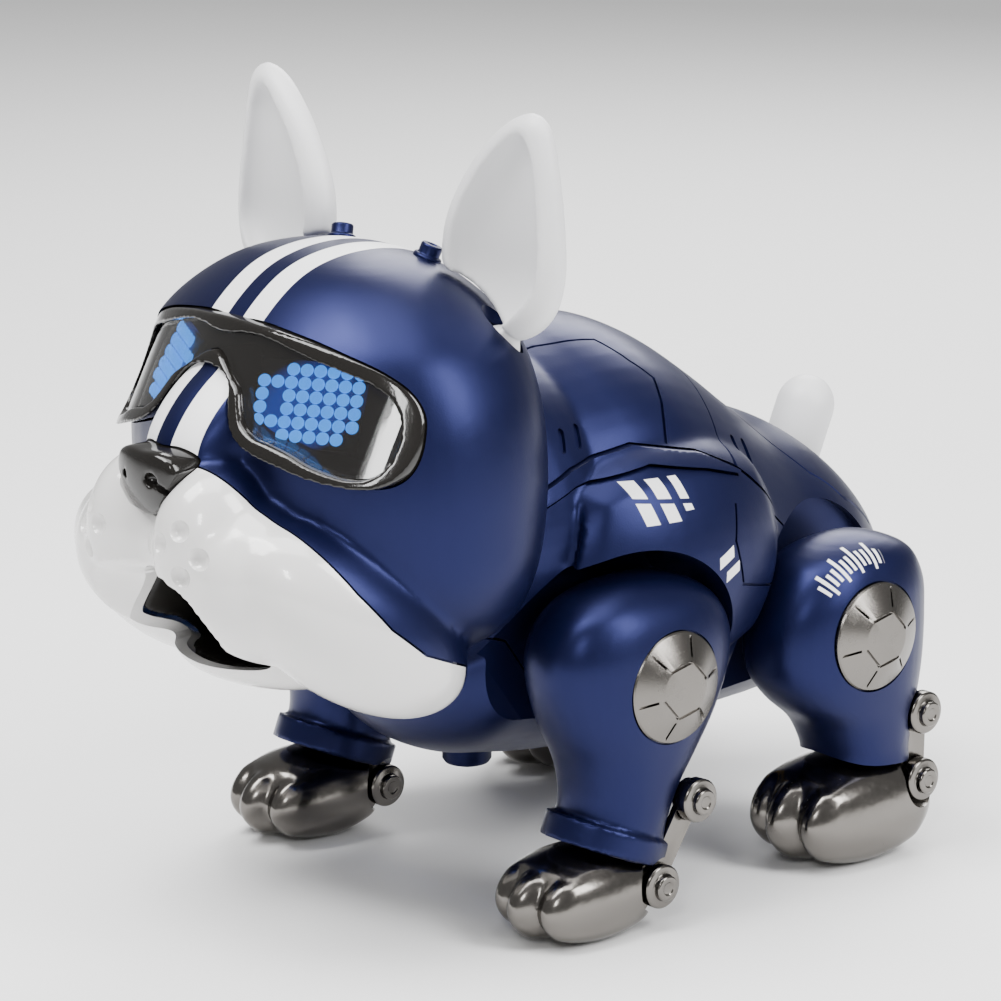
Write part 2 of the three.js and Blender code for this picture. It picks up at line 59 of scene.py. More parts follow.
# The lit board behind the toy's left side of the lens.
EYE_AT = (24.4, -86.9, 130.4)
EYE_TILT = -28
EYE_TURN = 28.5


def spot(x, y, z):
    return Vector((x, y + FORE, z)) * MM


# ---------------------------------------------------------------- workshop tools


def clear():
    if bpy.context.object and bpy.context.object.mode != "OBJECT":
        bpy.ops.object.mode_set(mode="OBJECT")
    bpy.ops.object.select_all(action="DESELECT")


def only(obj, *others):
    clear()
    for each in (obj, *others):
        each.select_set(True)
    bpy.context.view_layer.objects.active = obj
    return obj


def edit(obj):
    only(obj)
    bpy.ops.object.mode_set(mode="EDIT")
    bpy.ops.mesh.select_all(action="SELECT")


def done():
    bpy.ops.object.mode_set(mode="OBJECT")
    return bpy.context.object


def settle(obj):
    only(obj)
    bpy.ops.object.transform_apply(location=True, rotation=True, scale=True)
    return obj


def turn_to(obj, tilt=0, roll=0, turn=0):
    obj.rotation_euler = (math.radians(tilt), math.radians(roll), math.radians(turn))
    return settle(obj)


def stand(obj, at):
    obj.location = spot(*at)
    return settle(obj)


def centred(obj):
    """What was made about the designer's zero, brought to the frame's own zero."""
    obj.data.transform(Matrix.Translation(-spot(0, 0, 0)))
    return obj


def copy_of(obj):
    twin = obj.copy()
    twin.data = obj.data.copy()
    bpy.context.collection.objects.link(twin)
    return twin


def mirror_of(obj):
    twin = copy_of(obj)
    twin.data.transform(Matrix.Diagonal((-1, 1, 1, 1)))
    twin.data.flip_normals()
    return twin


def apply(obj, kind, **settings):
    only(obj)
    modifier = obj.modifiers.new(kind.lower(), kind)
    for name, value in settings.items():
        setattr(modifier, name, value)
    bpy.ops.object.modifier_apply(modifier=modifier.name)
    return obj


def boolean(obj, tool, operation="DIFFERENCE", keep=False):
    apply(obj, "BOOLEAN", operation=operation, solver="MANIFOLD", object=tool)
    if not keep:
        bpy.data.objects.remove(tool)
    return obj


def cut(obj, *tools):
    for tool in tools:
        boolean(obj, tool)
    return obj


def meet(obj, tool):
    return boolean(obj, tool, "INTERSECT")


def weld(obj, *others):
    for other in others:
        boolean(obj, other, "UNION")
    return obj


def soften(obj, rounds):
    return apply(obj, "SMOOTH", factor=0.5, iterations=max(1, round(rounds / FINE**2)))


def skin(parts, voxel, rounds):
    """Closed forms that overlap become one skin, and its creases are softened."""
    only(*parts)
    bpy.ops.object.join()
    obj = bpy.context.object
    apply(obj, "REMESH", mode="VOXEL", voxel_size=voxel * FINE * MM)
    return soften(obj, rounds) if rounds else obj


def swell(obj, amount):
    return apply(obj, "DISPLACE", strength=amount * MM, mid_level=0)


def core_of(form, depth):
    """A smooth copy of the form, that much smaller all round."""
    inner = swell(copy_of(form), -depth)
    return apply(inner, "REMESH", mode="VOXEL", voxel_size=1.3 * MM)


# ---------------------------------------------------------------- basic forms


def pebble(half, at, roundness=1.0, tilt=0, roll=0, turn=0, cuts=11):
    """A cube pulled towards a ball."""
    clear()
    bpy.ops.mesh.primitive_cube_add(size=2)
    obj = bpy.context.object
    edit(obj)
    bpy.ops.mesh.subdivide(number_cuts=cuts)
    done()
    for vertex in obj.data.vertices:
        vertex.co = vertex.co.lerp(vertex.co.normalized(), roundness)
    obj.scale = Vector(half) * MM
    settle(obj)
    turn_to(obj, tilt, roll, turn)
    return stand(obj, at)


def block(size, at, tilt=0, roll=0, turn=0, bevel=0.0, segments=3):
    clear()
    bpy.ops.mesh.primitive_cube_add(size=1)
    obj = bpy.context.object
    obj.scale = Vector(size) * MM
    settle(obj)
    if bevel:
        edit(obj)
        bpy.ops.mesh.bevel(offset=bevel * MM, segments=segments, affect="EDGES")
        done()
    turn_to(obj, tilt, roll, turn)
    return stand(obj, at)


def swung(obj, pivot, by):
    """Turned about an upright axis through the pivot."""
    pivot = spot(*pivot)
    spin = Matrix.Translation(pivot) @ Matrix.Rotation(math.radians(by), 4, "Z")
    obj.data.transform(spin @ Matrix.Translation(-pivot))
    return obj


def lay_along(obj, along):
    if along == "x":
        turn_to(obj, roll=90)
    elif along == "y":
        turn_to(obj, tilt=-90)
    return obj


def rod(radius, length, along, at, tilt=0, roll=0, vertices=64):
    clear()
    bpy.ops.mesh.primitive_cylinder_add(vertices=vertices, radius=radius * MM, depth=length * MM)
    obj = lay_along(bpy.context.object, along)
    turn_to(obj, tilt, roll)
    return stand(obj, at)


def outline_mesh(points):
    mesh = bpy.data.meshes.new("outline")
    mesh.from_pydata(points, [], [list(range(len(points)))])
    obj = bpy.data.objects.new("outline", mesh)
    bpy.context.collection.objects.link(obj)
    return obj


def pull(obj, by):
    """A flat outline is pulled out to a closed block."""
    edit(obj)
    bpy.ops.mesh.extrude_region_move(TRANSFORM_OT_translate={"value": by})
    bpy.ops.mesh.select_all(action="SELECT")
    bpy.ops.mesh.normals_make_consistent(inside=False)
    return done()


def side_slab(outline, from_x=-90, to_x=90):
    obj = outline_mesh([spot(from_x, y, z) for y, z in outline])
    return pull(obj, ((to_x - from_x) * MM, 0, 0))


def front_slab(outline, from_y, to_y):
    obj = outline_mesh([spot(x, from_y, z) for x, z in outline])
    return pull(obj, (0, (to_y - from_y) * MM, 0))


def both_halves(half):
    inner = [point for point in reversed(half) if point[0] > 0]
    return half + [(-x, z) for x, z in inner]


def catmull(a, b, c, d, t):
    return b + 0.5 * t * (c - a + t * (2 * a - 5 * b + 4 * c - d + t * (3 * (b - c) + d - a)))


def flowing(points, steps=5):
    """A closed outline through the points, as one smooth curve."""
    count = len(points)
    result = []
    for i in range(count):
        four = [points[(i + k) % count] for k in (-1, 0, 1, 2)]
        for k in range(steps):
            result.append(tuple(catmull(*axis, k / steps) for axis in zip(*four)))
    return result


def turned(profile, along, at, tilt=0, steps=64):
    """A profile of (radius, height), spun to a closed body."""
    points = [Vector((radius, 0, height)) * MM for radius, height in profile]
    mesh = bpy.data.meshes.new("profile")
    mesh.from_pydata(points, [(i, i + 1) for i in range(len(points) - 1)], [])
    obj = bpy.data.objects.new("profile", mesh)
    bpy.context.collection.objects.link(obj)
    edit(obj)
    bpy.ops.mesh.spin(steps=steps, angle=math.tau, center=(0, 0, 0), axis=(0, 0, 1))
    bpy.ops.mesh.select_all(action="SELECT")
    bpy.ops.mesh.remove_doubles(threshold=0.00001)
    bpy.ops.mesh.normals_make_consistent(inside=False)
    done()
    lay_along(obj, along)
    turn_to(obj, tilt)
    return stand(obj, at)


def fill_rows(rows, steps):
    """More sections on a smooth curve through the given ones, round at both poles."""

    def ghost(row):
        return [*row[:3], -row[3], -row[4]]

    chain = [ghost(rows[1]), *rows, ghost(rows[-2])]
    result = []
    for i in range(1, len(chain) - 2):
        for k in range(steps):
            result.append([catmull(*axis, k / steps) for axis in zip(*chain[i - 1 : i + 3])])
    return result + [rows[-1]]


def loft(rows, spine="z", squareness=2.0, around=48, steps=4):
    """Sections (place on the spine, middle, middle, half, half) drawn out from a circle."""
    rows = fill_rows([list(row) for row in rows], steps)
    upright = spine == "z"

    def middle(row):
        along, first, second = row[:3]
        return spot(first, second, along) if upright else spot(first, along, second)

    def stretch(wide, high):
        return (wide, high, 1) if upright else (wide, 1, high)

    clear()
    bpy.ops.mesh.primitive_circle_add(vertices=around, radius=1)
    obj = bpy.context.object
    for vertex in obj.data.vertices:
        x, y = vertex.co.x, vertex.co.y
        size = (abs(x) ** squareness + abs(y) ** squareness) ** (-1 / squareness)
        vertex.co = (x * size, y * size, 0) if upright else (x * size, 0, y * size)
    edit(obj)
    here = rows[1]
    size = stretch(here[3] * MM, here[4] * MM)
    bpy.ops.transform.resize(value=size, center_override=(0, 0, 0))
    bpy.ops.transform.translate(value=middle(here))
    for row in rows[2:-1]:
        step = middle(row) - middle(here)
        bpy.ops.mesh.extrude_region_move(TRANSFORM_OT_translate={"value": step})
        size = stretch(row[3] / here[3], row[4] / here[4])
        bpy.ops.transform.resize(value=size, center_override=middle(row))
        here = row
    close_pole(middle(rows[-1]) - middle(here))
    bpy.ops.mesh.select_all(action="DESELECT")
    done()
    for index, vertex in enumerate(obj.data.vertices):
        vertex.select = index < around
    bpy.ops.object.mode_set(mode="EDIT")
    close_pole(middle(rows[0]) - middle(rows[1]))
    bpy.ops.mesh.select_all(action="SELECT")
    bpy.ops.mesh.normals_make_consistent(inside=False)
    return done()


def close_pole(step):
    bpy.ops.mesh.extrude_region_move(TRANSFORM_OT_translate={"value": step})
    bpy.ops.mesh.merge(type="CENTER")


# ---------------------------------------------------------------- finishes


class Socket:
    """A shader value that can stand in a sum."""

    def __init__(self, paint, link):
        self.paint, self.link = paint, link

    def _with(self, operation, *others):
        return self.paint.maths(operation, self, *others)

    def __add__(self, other):
        return self._with("ADD", other)

    def __sub__(self, other):
        return self._with("SUBTRACT", other)

    def __rsub__(self, other):
        return self.paint.maths("SUBTRACT", other, self)

    def __mul__(self, other):
        return self._with("MULTIPLY", other)

    def __truediv__(self, other):
        return self._with("DIVIDE", other)

    def __abs__(self):
        return self._with("ABSOLUTE")

    __radd__, __rmul__ = __add__, __mul__

    def low(self, other):
        return self._with("MINIMUM", other)

    def high(self, other):
        return self._with("MAXIMUM", other)

    def over(self, edge, blur):
        """0 well under the edge, 1 well over it."""
        return ((self - edge) / blur + 0.5).low(1).high(0)

    def under(self, edge, blur):
        return 1 - self.over(edge, blur)

    def between(self, start, end, blur=0.12):
        return self.over(start, blur) * self.under(end, blur)


class Paint:
    """One material, built up on a Principled shader."""

    def __init__(self, name, **constants):
        self.material = bpy.data.materials.new(name)
        self.material.use_nodes = True
        self.tree = self.material.node_tree
        self.shader = self.tree.nodes["Principled BSDF"]
        for socket, value in constants.items():
            self.shader.inputs[socket.replace("_", " ")].default_value = value

    def node(self, kind, settings=None, sockets=None, out=0):
        made = self.tree.nodes.new(kind)
        for name, value in (settings or {}).items():
            setattr(made, name, value)
        for name, value in (sockets or {}).items():
            self.feed(made.inputs[name], value)
        return Socket(self, made.outputs[out])

    def feed(self, socket, value):
        if isinstance(value, Socket):
            self.tree.links.new(value.link, socket)
        else:
            socket.default_value = value

    def maths(self, operation, *values):
        sockets = dict(enumerate(values))
        return self.node("ShaderNodeMath", {"operation": operation}, sockets)

    def give(self, **values):
        for name, value in values.items():
            self.feed(self.shader.inputs[name.replace("_", " ")], value)
        return self

    def place(self):
        """The surface point in the designer's millimetres: x, y and z."""
        point = self.node("ShaderNodeTexCoord", out=3)
        parts = [
            self.node("ShaderNodeSeparateXYZ", sockets={"Vector": point}, out=i) for i in range(3)
        ]
        x, y, z = [part * (1 / MM) for part in parts]
        return x, y - FORE, z

    def noise(self, scale, detail=3.0, rough=0.5, stretch=None):
        point = self.node("ShaderNodeTexCoord", out=3)
        if stretch:
            point = self.node("ShaderNodeMapping", sockets={"Vector": point, "Scale": stretch})
        sockets = {"Vector": point, "Scale": scale, "Detail": detail, "Roughness": rough}
        return self.node("ShaderNodeTexNoise", sockets=sockets)

    def mix(self, mask, first, second):
        sockets = {0: mask, 6: first, 7: second}
        return self.node("ShaderNodeMix", {"data_type": "RGBA"}, sockets, out=2)

    def shade(self, colour, dark, mask):
        deep = tuple(part * dark for part in colour[:3]) + (1,)
        return self.mix(mask, colour, deep)

    def bump(self, height, strength, distance=0.0002):
        sockets = {"Height": height, "Strength": strength, "Distance": distance}
        return self.give(Normal=self.node("ShaderNodeBump", sockets=sockets))


def rgb(red, green, blue):
    return (red, green, blue, 1)


NAVY = rgb(0.0092, 0.0120, 0.057)
WHITE = rgb(0.86, 0.86, 0.87)
GUNMETAL = rgb(0.190, 0.178, 0.164)


def moulded(paint, colour, rough, print_mask=None):
    """Moulded plastic: faint flow marks, a fine grain, and rub marks in its gloss."""
    flow = paint.noise(14, 2)
    grain = paint.noise(2600, 2)
    rub = paint.noise(90, 5, 0.65)
    body = paint.shade(colour, 0.86, flow)
    if print_mask is not None:
        body = paint.mix(print_mask, body, WHITE)
    paint.give(Base_Color=body, Roughness=rough + (rub - 0.5) * 0.14 + (grain - 0.5) * 0.04)
    return paint.bump(grain, 0.10)


def navy_paint(name, mask=None):
    """Satin navy with a slight metallic lustre; what is printed on it is plain white."""
    paint = Paint(name, Metallic=0.72, Specular_IOR_Level=0.3)
    printed = mask(paint) if mask else None
    moulded(paint, NAVY, 0.36, printed)
    if printed is not None:
        paint.give(Metallic=(1 - printed) * 0.72)
    return paint.material


def helmet_stripes(paint):
    x, y, z = paint.place()
    band = abs(x).between(2.7, 9.4)
    return band * z.over(96, 0.3) * y.under(-27, 0.3)


def shoulder_bars(paint):
    """Three slanted bars that shorten to the rear, and two ticks in the rear notch."""
    x, y, z = paint.place()
    lean = y + (z - 100) * 0.28
    bars = lean.between(-13.8, -10.2) * z.between(95.5, 105.2)
    bars = bars + lean.between(-7.8, -4.2) * z.between(95.5, 105.2)
    bars = bars + lean.between(-1.8, 0.6) * z.between(97.5, 105.2)
    split = (z + y * 0.12).between(99.0, 100.1)
    slant = z - (y - 10) * 0.45
    ticks = slant.between(83.4, 86.2) * y.between(7.4, 12.4)
    ticks = ticks + slant.between(78.8, 81.4) * y.between(9.8, 14.4)
    side = abs(x).over(30, 0.5)
    return (bars * (1 - split) + ticks).low(1) * side


def thigh_ticks(paint):
    """A row of ticks on an arc over the hub, longer at every third."""
    x, y, z = paint.place()
    across, up = y - REAR_HIP[0], z - REAR_HIP[1]
    reach = paint.maths("SQRT", across * across + up * up)
    angle = paint.maths("ARCTAN2", across, up) * (180 / math.pi)
    step = paint.maths("FRACT", (angle + 60) / 5.2)
    third = paint.maths("FRACT", (angle + 60) / 15.6)
    marks = step.between(0.2, 0.72, 0.05) * reach.between(17.6, 20.4)
    long_marks = third.between(0.07, 0.24, 0.02) * reach.between(16.4, 21.4)
    return (marks + long_marks).low(1) * angle.between(-50, 14, 0.4) * abs(x).over(44, 0.5)


def white_gloss_paint():
    paint = Paint("white_gloss", Coat_Weight=0.7, Coat_Roughness=0.06)
    return moulded(paint, rgb(0.74, 0.73, 0.72), 0.20).material


def white_soft_paint():
    paint = Paint("white_soft", Sheen_Weight=0.05)
    return moulded(paint, rgb(0.74, 0.74, 0.75), 0.46).material


def gunmetal_paint(name="gunmetal", rough=0.20, brushed=(1, 1, 1)):
    paint = Paint(name, Metallic=1.0)
    cloud = paint.noise(30, 4)
    fine = paint.noise(700, 3, 0.6, brushed)
    scuff = paint.noise(160, 6, 0.7).over(0.60, 0.10)
    paint.give(
        Base_Color=paint.shade(GUNMETAL, 0.72, cloud),
        Roughness=rough + (fine - 0.5) * 0.16 + scuff * 0.06,
    )
    return paint.bump(fine, 0.12).material


def black_gloss_paint():
    paint = Paint("black_gloss", Coat_Weight=0.5, Coat_Roughness=0.03, Specular_IOR_Level=0.25)
    return moulded(paint, rgb(0.010, 0.009, 0.008), 0.12).material


def liner_paint():
    paint = Paint("dark_liner", Specular_IOR_Level=0.15)
    return moulded(paint, rgb(0.010, 0.009, 0.008), 0.42).material


def lens_paint():
    paint = Paint("smoked_lens", Coat_Weight=1.0, Coat_Roughness=0.02)
    smear = paint.noise(45, 4)
    paint.give(
        Base_Color=paint.shade(rgb(0.010, 0.009, 0.008), 0.7, smear),
        Roughness=0.05 + smear * 0.05,
        Alpha=0.66 + smear * 0.06,
    )
    return paint.bump(paint.noise(12, 1), 0.02).material


def dot_paint():
    paint = Paint("display_dots", Emission_Strength=13.0, Roughness=0.4)
    flicker = paint.noise(220, 1)
    blue = paint.mix(flicker, rgb(0.02, 0.25, 1.0), rgb(0.04, 0.34, 1.0))
    return paint.give(Base_Color=rgb(0.05, 0.2, 0.6), Emission_Color=blue).material


def plain_paint(name, colour, rough=0.45, **constants):
    return moulded(Paint(name, **constants), colour, rough).material


def halo_paint():
    """A dark plate that glows blue round its dots and fades to its edge."""
    paint = Paint("display_halo", Emission_Strength=3.5, Roughness=0.3)
    x, _, z = paint.place()
    across = ((abs(x) - EYE_AT[0]) / math.cos(math.radians(EYE_TURN))) / 11.5
    up = (z - EYE_AT[2]) / 9.0
    away = across * across + up * up
    fade = away.under(0.95, 0.9)
    paint.give(
        Base_Color=rgb(0.01, 0.01, 0.015),
        Emission_Color=paint.mix(fade, rgb(0, 0, 0), rgb(0.0, 0.09, 0.80)),
    )
    return paint.bump(paint.noise(300, 2), 0.1).material


def board_paint():
    """Green solder mask with copper tracks under it."""
    paint = Paint("board")
    x, y, _ = paint.place()
    track = paint.maths("FRACT", (x + y * 0.5) / 2.4).between(0.4, 0.55, 0.06)
    patch = paint.noise(120, 1).over(0.52, 0.03)
    green, copper = rgb(0.01, 0.10, 0.035), rgb(0.03, 0.20, 0.07)
    paint.give(Base_Color=paint.mix(track * patch, green, copper), Roughness=0.35 + patch * 0.1)
    return paint.bump(track, 0.2).material


PAINTS = {
    "navy": navy_paint("navy"),
    "navy_striped": navy_paint("navy_striped", helmet_stripes),
    "navy_barred": navy_paint("navy_barred", shoulder_bars),
    "navy_ticked": navy_paint("navy_ticked", thigh_ticks),
    "white_gloss": white_gloss_paint(),
    "white_soft": white_soft_paint(),
    "gunmetal": gunmetal_paint(),
    "hub_metal": gunmetal_paint("hub_metal", 0.24, (1, 6, 6)),
    "black_gloss": black_gloss_paint(),
    "liner": liner_paint(),
    "lens": lens_paint(),
    "dots": dot_paint(),
    "halo": halo_paint(),
    "grey": plain_paint("grey_plastic", rgb(0.16, 0.16, 0.17)),
    "motor": plain_paint("motor_case", rgb(0.45, 0.45, 0.44), 0.3, Metallic=1.0),
    "steel": plain_paint("steel", rgb(0.55, 0.54, 0.52), 0.25, Metallic=1.0),
    "board": board_paint(),
    "cell": plain_paint("cell_wrap", rgb(0.50, 0.33, 0.03), 0.35),
}


def deliver(obj, name, body, replaced, paint, angle=40, bevel=0.0):
    """The finished piece: named, painted, on its body, in place of its CAD nodes."""
    obj.name = obj.data.name = name
    obj.data.materials.clear()
    obj.data.materials.append(PAINTS[paint])
    only(obj)
    if bevel:
        apply(obj, "BEVEL", width=bevel * MM, segments=2, limit_method="ANGLE", angle_limit=0.7)
    bpy.ops.object.shade_smooth_by_angle(angle=math.radians(angle))
    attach(obj, body)
    if replaced:
        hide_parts(*replaced)
    return obj


def deliver_pair(obj, name, body, node, paint, angle=40, bevel=0.0):
    """The piece on the toy's left, and its mirror image on the right."""
    twin = mirror_of(obj)
    for each, side in ((obj, "left"), (twin, "right")):
        called, rides, old = (word.replace("SIDE", side) for word in (name, body, node))
        deliver(each, called, rides, [old] if old else [], paint, angle, bevel)


# ---------------------------------------------------------------- head

# Sections of the helmet from the jaw up: height, middle in x and y, half width, half length.
HELMET = [
    (64, 0, -50, 0, 0),
    (67, 0, -52, 30, 15),
    (76, 0, -54.6, 46, 26),
    (88, 0, -57.3, 53.5, 33.3),
    (101, 0, -59, 55.5, 38),
    (116, 0, -59.5, 55.5, 39),
    (130, 0, -59.5, 53, 37.5),
    (142, 0, -59, 46.5, 33.5),
    (152, 0, -58.6, 34, 24.6),
    (157.8, 0, -58.4, 20, 14.4),
    (160, 0, -58.2, 0, 0),
]
# Half outlines from the front, of the visor, the mouth and the nose.
VISOR_HALF = [
    (0, 147.2), (7.5, 146.9), (15.7, 146.2), (26.7, 144.2), (37, 141), (42.9, 138), (46.7, 134.6),
    (49.2, 130.3), (50.2, 125.5), (50.2, 121), (49.2, 117.4), (47, 115.3), (44, 114.8),
    (40.5, 115.3), (34.5, 116.7), (28.9, 118.4), (22.5, 120.3), (17.4, 122.3), (13.4, 125.3),
    (10.8, 129.4), (8.6, 133.7), (5.4, 136.2), (0, 137),
]
MOUTH_HALF = [
    (0, 93), (5, 90.8), (11, 85.5), (16, 79), (18.6, 73), (17.6, 69.2), (12, 68.2), (0, 67.6),
]
NOSE_HALF = [
    (0, 120.2), (5, 120.4), (9.2, 118.8), (10.4, 115.6), (8.6, 111.6), (4.8, 107), (0, 104.8),
]
# The navy and white halves meet on this line, in y and z.
LIP_LINE = [
    (-140, 151.6), (-108, 117.3), (-103, 111), (-98, 102.4), (-92, 92.5), (-85, 83.6), (-76, 76.2),
    (-60, 69.5),
]


def helmet():
    return loft(HELMET, squareness=2.25)


def head_form():
    parts = [helmet()]
    for x in (1, -1):
        parts.append(pebble((13.2, 17.5, 21.5), (x * 12.4, -101.8, 96.5), tilt=22))
        parts.append(pebble((17, 24, 19), (x * 19.5, -94, 90), tilt=-22))
        parts.append(pebble((20, 34, 18), (x * 31, -82.5, 81.5), tilt=-37, turn=x * -14))
    parts.append(pebble((15, 21, 13), (0, -92, 123), 0.9, tilt=40))
    parts.append(pebble((21, 20, 9), (0, -82, 68), 0.9, tilt=-12))
    parts.append(pebble((13, 17, 17), (0, -97, 97)))
    form = skin(parts, 0.9, 0)
    cut(form, pebble((25, 24, 19), (0, -124, 76)))
    return soften(form, 30)


def visor_outline(inset):
    """The visor's outline, moved inwards, as a slab that passes through the face."""
    middle = Vector((28, 129.5))
    half = []
    for x, z in VISOR_HALF:
        away = Vector((x, z)) - middle
        point = middle + away.normalized() * (away.length - inset)
        half.append((x, z - math.copysign(inset, z - 143)) if x == 0 else tuple(point))
    return front_slab(flowing(both_halves(half)), -130, -72)


def visor_ring(inner, outer):
    """The leaning tube that the visor is a piece of."""
    profile = [(inner, -95), (outer, -95), (outer, 5), (inner, 5), (inner, -95)]
    return turned(profile, "z", (0, -20.0, 140), tilt=-28.6, steps=160)


def neck_space():
    """Room for the body's dome inside the rear of the head."""
    radius, height = 47.6, 44.2
    room = pebble((radius, radius, height), (0, NECK_Y, 92), cuts=15)
    weld(room, rod(radius, 60, "z", (0, NECK_Y, 62)))
    return meet(room, block((120, 100, 200), (0, -12.5, 100)))


def nose_form(grow):
    grown = [(x + (x > 0) * grow, z + math.copysign(grow, z - 114)) for x, z in NOSE_HALF]
    nose = front_slab(flowing(both_halves(grown)), -125, -98)
    return meet(nose, pebble((14 + grow, 9 + grow, 13 + grow), (0, -108, 113.5), 0.9, tilt=8))


def build_head():
    form = head_form()
    hollow = core_of(form, WALL)
    whisker_dimples(form)
    shell = cut(copy_of(form), copy_of(hollow), neck_space())
    muzzle_half = [*LIP_LINE, (-60, 30), (-140, 30)]
    white = side_slab([(y - 0.2, z - 0.2) for y, z in muzzle_half])
    room = side_slab([(y + 0.2, z + 0.2) for y, z in muzzle_half])
    build_helmet(copy_of(shell), room)
    build_muzzle(shell, white)
    build_mouth(hollow)
    bpy.data.objects.remove(form)
    build_nose()
    build_visor()


def whisker_dimples(form):
    """Four shallow dimples on each side of the nose, and the groove between the lips."""
    for across, z in ((16.6, 105.2), (11.4, 101.6), (21.2, 99.4), (17, 94.9)):
        _, point, facing, _ = form.ray_cast(spot(across, -200, z), Vector((0, 1, 0)))
        x, y, height = (point + facing * 1.5 * MM) / MM
        for side in (1, -1):
            cut(form, pebble((3, 3, 3), (side * x, y - FORE, height), cuts=9))
    cut(form, pebble((0.9, 4, 9), (0, -117.2, 100), cuts=5))
    apply(form, "SMOOTH", factor=0.5, iterations=2)


def build_helmet(shell, muzzle_room):
    cut(shell, muzzle_room, visor_outline(-0.5))
    cut(shell, nose_form(0.35))
    for x in (1, -1):
        cut(shell, rod(4.7, 24, "z", (x * 39, -42.7, 141)))
        cut(shell, rod(2.5, 12, "z", (x * 15, -45.5, 155), tilt=-18, roll=x * 14))
    boss = rod(9, 14, "z", (0, NECK_Y, 139))
    meet(boss, swell(helmet(), -1))
    weld(shell, cut(boss, neck_space()))
    cut(shell, rod(4.3, 40, "z", (0, NECK_Y, 120)))
    deliver(shell, "helmet_shell", "head", ["head_shell"], "navy_striped")


def build_muzzle(shell, white):
    meet(shell, white)
    cut(shell, visor_outline(-0.5))
    cut(shell, nose_form(0.3))
    cut(shell, front_slab(flowing(both_halves(MOUTH_HALF)), -130, -75))
    deliver(shell, "muzzle_shell", "head", ["muzzle"], "white_gloss")


def build_mouth(hollow):
    """A dark cup behind the lips, with a ribbed palate and a tongue-like floor."""
    grown = [(x + (x > 0) * 2.3, z + math.copysign(2.2, z - 79.5)) for x, z in MOUTH_HALF]
    outer = front_slab(flowing(both_halves(grown)), -112, -72)
    inner = front_slab(flowing(both_halves(MOUTH_HALF)), -130, -74)
    cup = meet(cut(outer, inner), swell(hollow, -0.9))
    for y in (-84, -89, -94):
        weld(cup, rod(0.8, 22, "x", (0, y, 65.4), vertices=12))
    cup = skin([cup], 0.8, 3)
    deliver(cup, "mouth_cup", "head", ["mouth_liner"], "liner")


def build_nose():
    nose = skin([nose_form(0)], 0.45, 40)
    for side in (1, -1):
        _, point, _, _ = nose.ray_cast(spot(4.4, -200, 114.2), Vector((0, 1, 0)))
        y = point.y / MM - FORE
        cut(nose, pebble((1.9, 2.6, 1.7), (side * 4.4, y, 114.2), turn=side * 25, cuts=7))
        slit = (side * 7.2, y + 1.6, 112.4)
        cut(nose, pebble((3.2, 1.6, 0.8), slit, roll=side * 30, turn=side * 30, cuts=5))
    nose = skin([nose], 0.35, 4)
    deliver(nose, "nose_button", "head", ["nose"], "black_gloss")


def build_visor():
    rim = meet(visor_ring(VISOR_RADIUS - 11, VISOR_RADIUS), visor_outline(0))
    cut(rim, visor_outline(3.2))
    rim = skin([rim], 0.42, 14)
    deliver(rim, "visor_rim", "head", ["visor_frame"], "black_gloss")
    lens = meet(visor_ring(VISOR_RADIUS - 3, VISOR_RADIUS - 1.4), visor_outline(3.35))
    deliver(lens, "visor_glass", "head", ["visor_lens"], "lens", 30)
    build_display()


# Rows of dots from the top, from the nose outwards.
DOTS = ["..XXXXXX", "XXXXXXXX", "X.XXXXXX", "X.XXXXXX", "XXXXXXXX", "..XXXXX."]
DOT_PITCH = (3.25, 3.05)


def build_display():
    """A lit board behind each side of the lens: a dark plate and its domed dots."""
    plate = block((26, 1.4, 20), EYE_AT, tilt=EYE_TILT, turn=EYE_TURN, bevel=0.4)
    meet(plate, visor_outline(3.7))
    turn = Matrix.Rotation(math.radians(EYE_TURN), 3, "Z")
    lean = turn @ Matrix.Rotation(math.radians(EYE_TILT), 3, "X")
    dots = []
    for row, marks in enumerate(DOTS):
        for column, mark in enumerate(marks):
            if mark == "X":
                local = Vector(((column - 3.5) * DOT_PITCH[0], -0.95, (2.5 - row) * DOT_PITCH[1]))
                at = Vector(EYE_AT) + lean @ local
                dots.append(pebble((1.55, 0.6, 1.5), at, tilt=EYE_TILT, turn=EYE_TURN, cuts=4))
    only(*dots)
    bpy.ops.object.join()
    dots = bpy.context.object
    deliver_pair(dots, "display_dots_SIDE", "head", "", "dots", 60)
    deliver_pair(plate, "display_plate_SIDE", "head", "led_display_SIDE", "halo", 40)


# ---------------------------------------------------------------- ears and studs

EAR_AT = (39, -42.7, 141)
# Height, middle in x and y, half width, half depth, from the ear's root.
EAR_ROWS = [
    (0, 0, 0, 0, 0), (2, 0, 0, 9, 4), (8, 0, 0, 15.5, 6.2), (17, 0, 0.3, 18, 6.5),
    (27, 0.4, 0.6, 17.2, 6), (37, 2.4, 0.8, 14, 5), (45, 5, 0.9, 9.8, 4.2),
    (50.5, 7.4, 1, 5.4, 3), (53, 8.4, 1, 0, 0),
]
SCOOP_ROWS = [
    (4, 0, -4.8, 0, 0), (7, 0, -4.8, 7, 4), (15, 0.2, -4.8, 13, 7), (26, 0.8, -4.6, 12.8, 7),
    (36, 2.8, -4.2, 9.6, 6), (44, 5.4, -3.6, 5.2, 4.6), (49, 6.9, -3.4, 0, 0),
]


